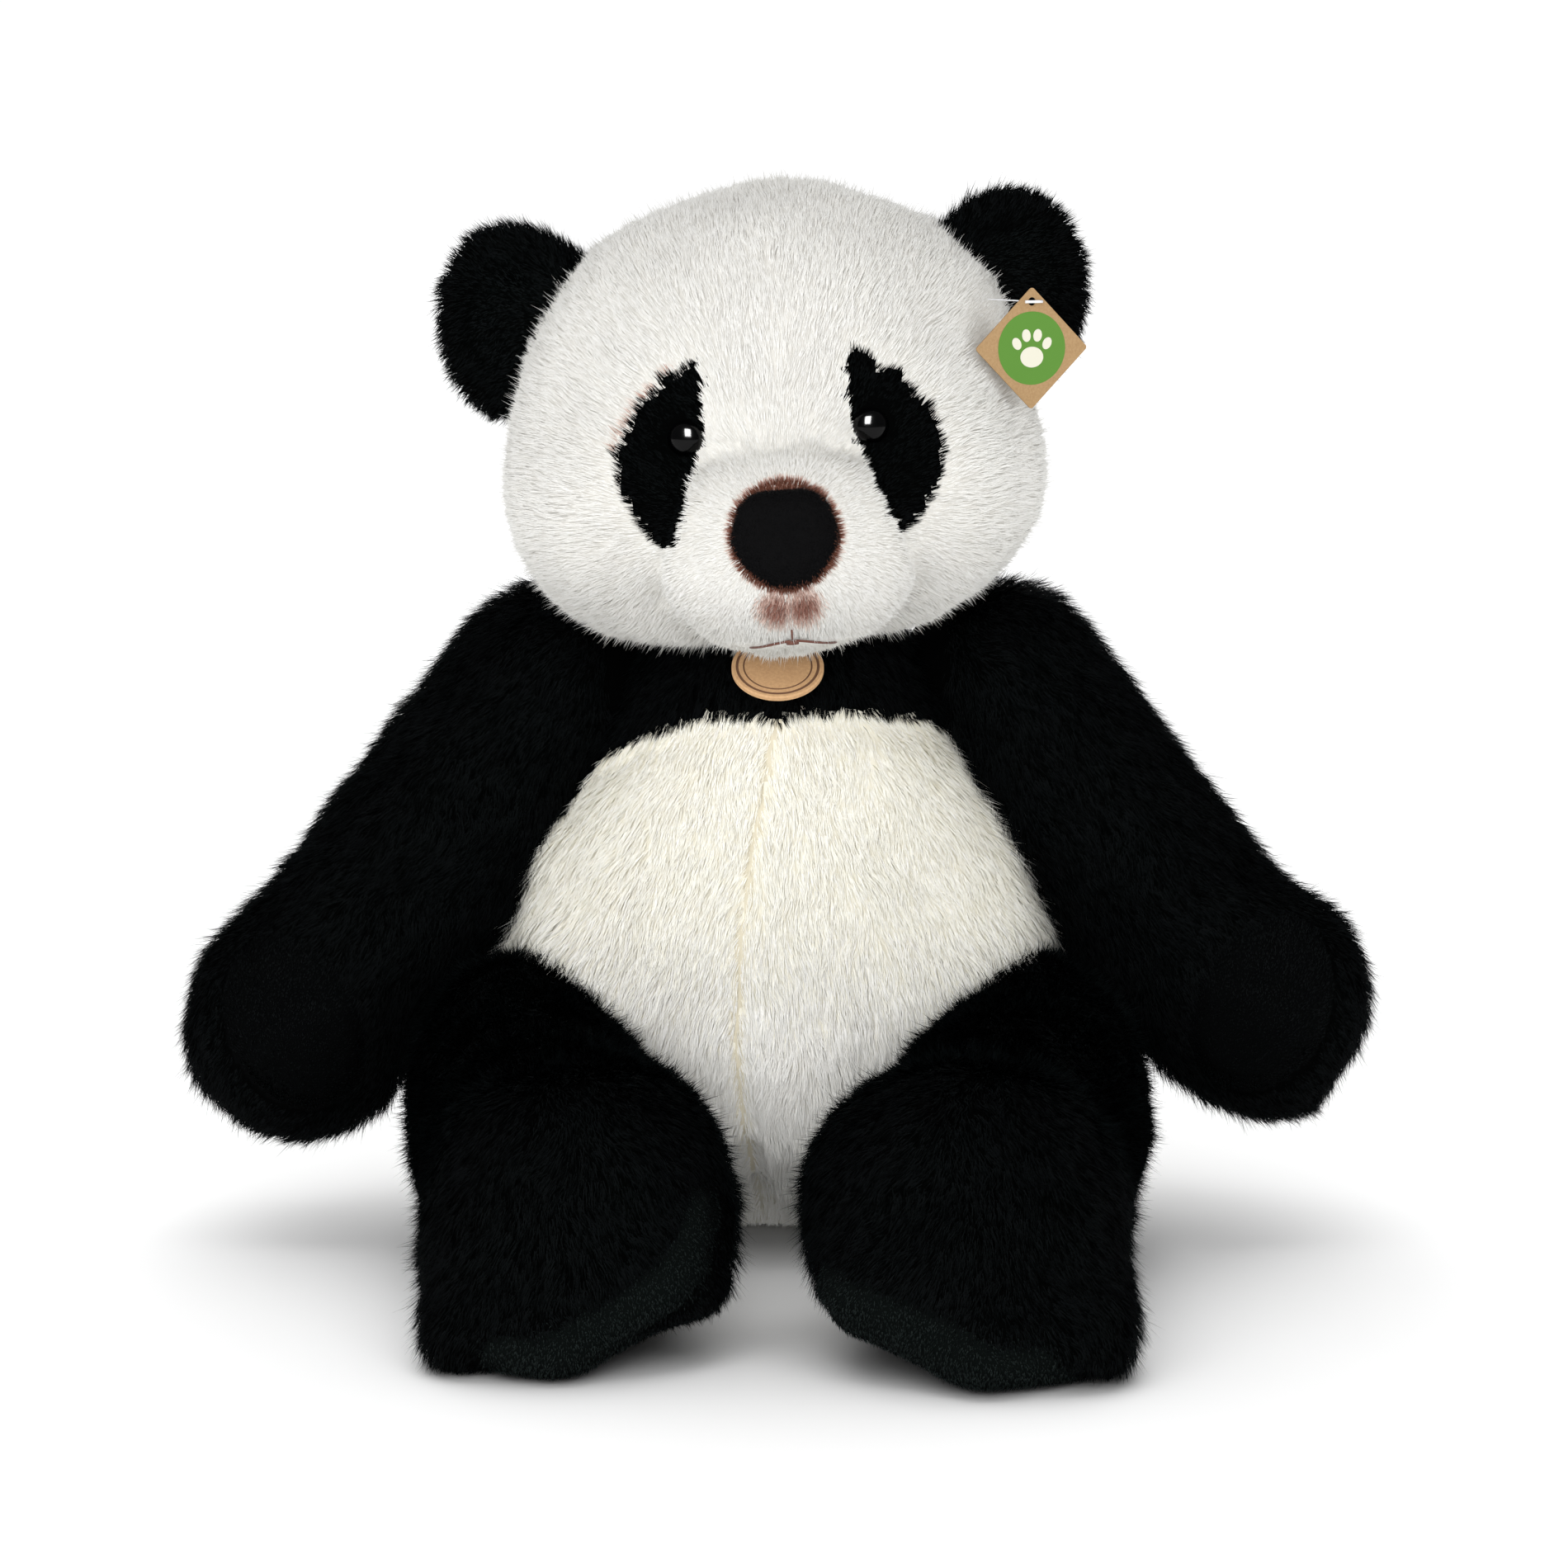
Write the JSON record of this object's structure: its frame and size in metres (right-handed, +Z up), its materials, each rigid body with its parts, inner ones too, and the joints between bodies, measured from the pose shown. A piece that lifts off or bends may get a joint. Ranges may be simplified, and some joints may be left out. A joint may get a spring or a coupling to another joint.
{
  "type": "plush panda",
  "caption": "Seated stuffed panda with long pile, safety eyes, felt nose, jointed soft head, ears, arms and legs, a hang tag and a chin medallion.",
  "frame": {"origin": "on the flat underside of the seat, below the middle of the body", "axes": "+Z up; the face looks along -Y; +X is to the right as seen from the front, which is the panda's own left. Left and right in names are as seen from the front"},
  "size_m": [0.5718, 0.4857, 0.508],
  "materials": {
    "white_plush": "long soft pile, ivory white",
    "black_plush": "long soft pile, black with a cool sheen",
    "short_pile": "short sheared pile, charcoal",
    "polyester_fill": "loose polyester fibre",
    "eye_plastic": "polished black",
    "washer_plastic": "moulded",
    "nose_felt": "brushed felt",
    "mouth_thread": "twisted thread",
    "bean_cloth": "plain woven cotton",
    "label_ribbon": "satin ribbon",
    "tag_kraft": "uncoated kraft board, printed disc",
    "medallion_wood": "kraft faced board, printed rings",
    "pin_plastic": "moulded"
  },
  "bodies": {
    "torso": {"chest_yoke": "black_plush", "belly_panel_left": "white_plush", "belly_panel_right": "white_plush", "back_panel_left": "white_plush", "back_panel_right": "white_plush", "seat_panel": "white_plush", "body_stuffing": "polyester_fill", "bean_bag": "bean_cloth", "tail_cover": "white_plush", "tail_stuffing": "polyester_fill", "care_label": "label_ribbon", "medallion_pin": "pin_plastic"},
    "neck": {"neck_gather": "black_plush"},
    "head": {"head_crown": "white_plush", "cheek_left": "white_plush", "cheek_right": "white_plush", "muzzle_cover": "white_plush", "chin_gusset": "white_plush", "eye_patch_left": "black_plush", "eye_patch_right": "black_plush", "head_stuffing": "polyester_fill", "eye_left": "eye_plastic", "eye_right": "eye_plastic", "eye_washer_left": "washer_plastic", "eye_washer_right": "washer_plastic", "nose_cover": "nose_felt", "nose_stuffing": "polyester_fill", "mouth_stitch": "mouth_thread", "tag_pin": "pin_plastic"},
    "hang_tag": {"tag_card": "tag_kraft"},
    "medallion": {"medallion_disc": "medallion_wood"},
    "ear_left": {"ear_front_left": "black_plush", "ear_back_left": "black_plush"},
    "arm_left": {"arm_cover_left": "black_plush", "palm_pad_left": "short_pile", "arm_stuffing_left": "polyester_fill"},
    "leg_left": {"leg_cover_left": "black_plush", "sole_pad_left": "short_pile", "leg_stuffing_left": "polyester_fill"},
    "ear_right": {"ear_front_right": "black_plush", "ear_back_right": "black_plush"},
    "arm_right": {"arm_cover_right": "black_plush", "palm_pad_right": "short_pile", "arm_stuffing_right": "polyester_fill"},
    "leg_right": {"leg_cover_right": "black_plush", "sole_pad_right": "short_pile", "leg_stuffing_right": "polyester_fill"}
  },
  "joints": [
    {"name": "neck_turn", "type": "hinge", "parent": "torso", "child": "neck", "pos_m": [0, -0.008, 0.338], "axis": [0, 0, 1], "range_deg": [-20, 20], "stiffness_Nm_per_rad": 2},
    {"name": "head_nod", "type": "hinge", "parent": "neck", "child": "head", "pos_m": [0, -0.008, 0.338], "axis": [1, 0, 0], "range_deg": [-20, 2], "stiffness_Nm_per_rad": 5},
    {"name": "ear_fold_right", "type": "hinge", "parent": "head", "child": "ear_right", "pos_m": [0.10066, -0.017, 0.4541], "axis": [-0.4384, 0, 0.8988], "range_deg": [-20, 20], "stiffness_Nm_per_rad": 0.05},
    {"name": "ear_fold_left", "type": "hinge", "parent": "head", "child": "ear_left", "pos_m": [-0.10652, -0.017, 0.43961], "axis": [-0.309, 0, -0.9511], "range_deg": [-20, 20], "stiffness_Nm_per_rad": 0.05},
    {"name": "arm_swing_left", "type": "hinge", "parent": "torso", "child": "arm_left", "pos_m": [-0.11, 0.008, 0.265], "axis": [-1, 0, 0], "range_deg": [-15, 75], "stiffness_Nm_per_rad": 1.2},
    {"name": "leg_swing_left", "type": "hinge", "parent": "torso", "child": "leg_left", "pos_m": [-0.125, -0.062, 0.071], "axis": [-1, 0, 0], "range_deg": [-20, 12], "stiffness_Nm_per_rad": 4},
    {"name": "arm_swing_right", "type": "hinge", "parent": "torso", "child": "arm_right", "pos_m": [0.11, 0.008, 0.265], "axis": [-1, 0, 0], "range_deg": [-15, 75], "stiffness_Nm_per_rad": 1.2},
    {"name": "leg_swing_right", "type": "hinge", "parent": "torso", "child": "leg_right", "pos_m": [0.125, -0.062, 0.071], "axis": [-1, 0, 0], "range_deg": [-20, 12], "stiffness_Nm_per_rad": 4},
    {"name": "hang_tag_swing", "type": "hinge", "parent": "head", "child": "hang_tag", "pos_m": [0.12, -0.074, 0.45899], "axis": [-0.3584, 0.9336, 0], "range_deg": [-12, 12]},
    {"name": "medallion_swing", "type": "hinge", "parent": "torso", "child": "medallion", "pos_m": [0, -0.06816, 0.29554], "axis": [0, 0.5736, -0.8191], "range_deg": [-12, 12]}
  ]
}
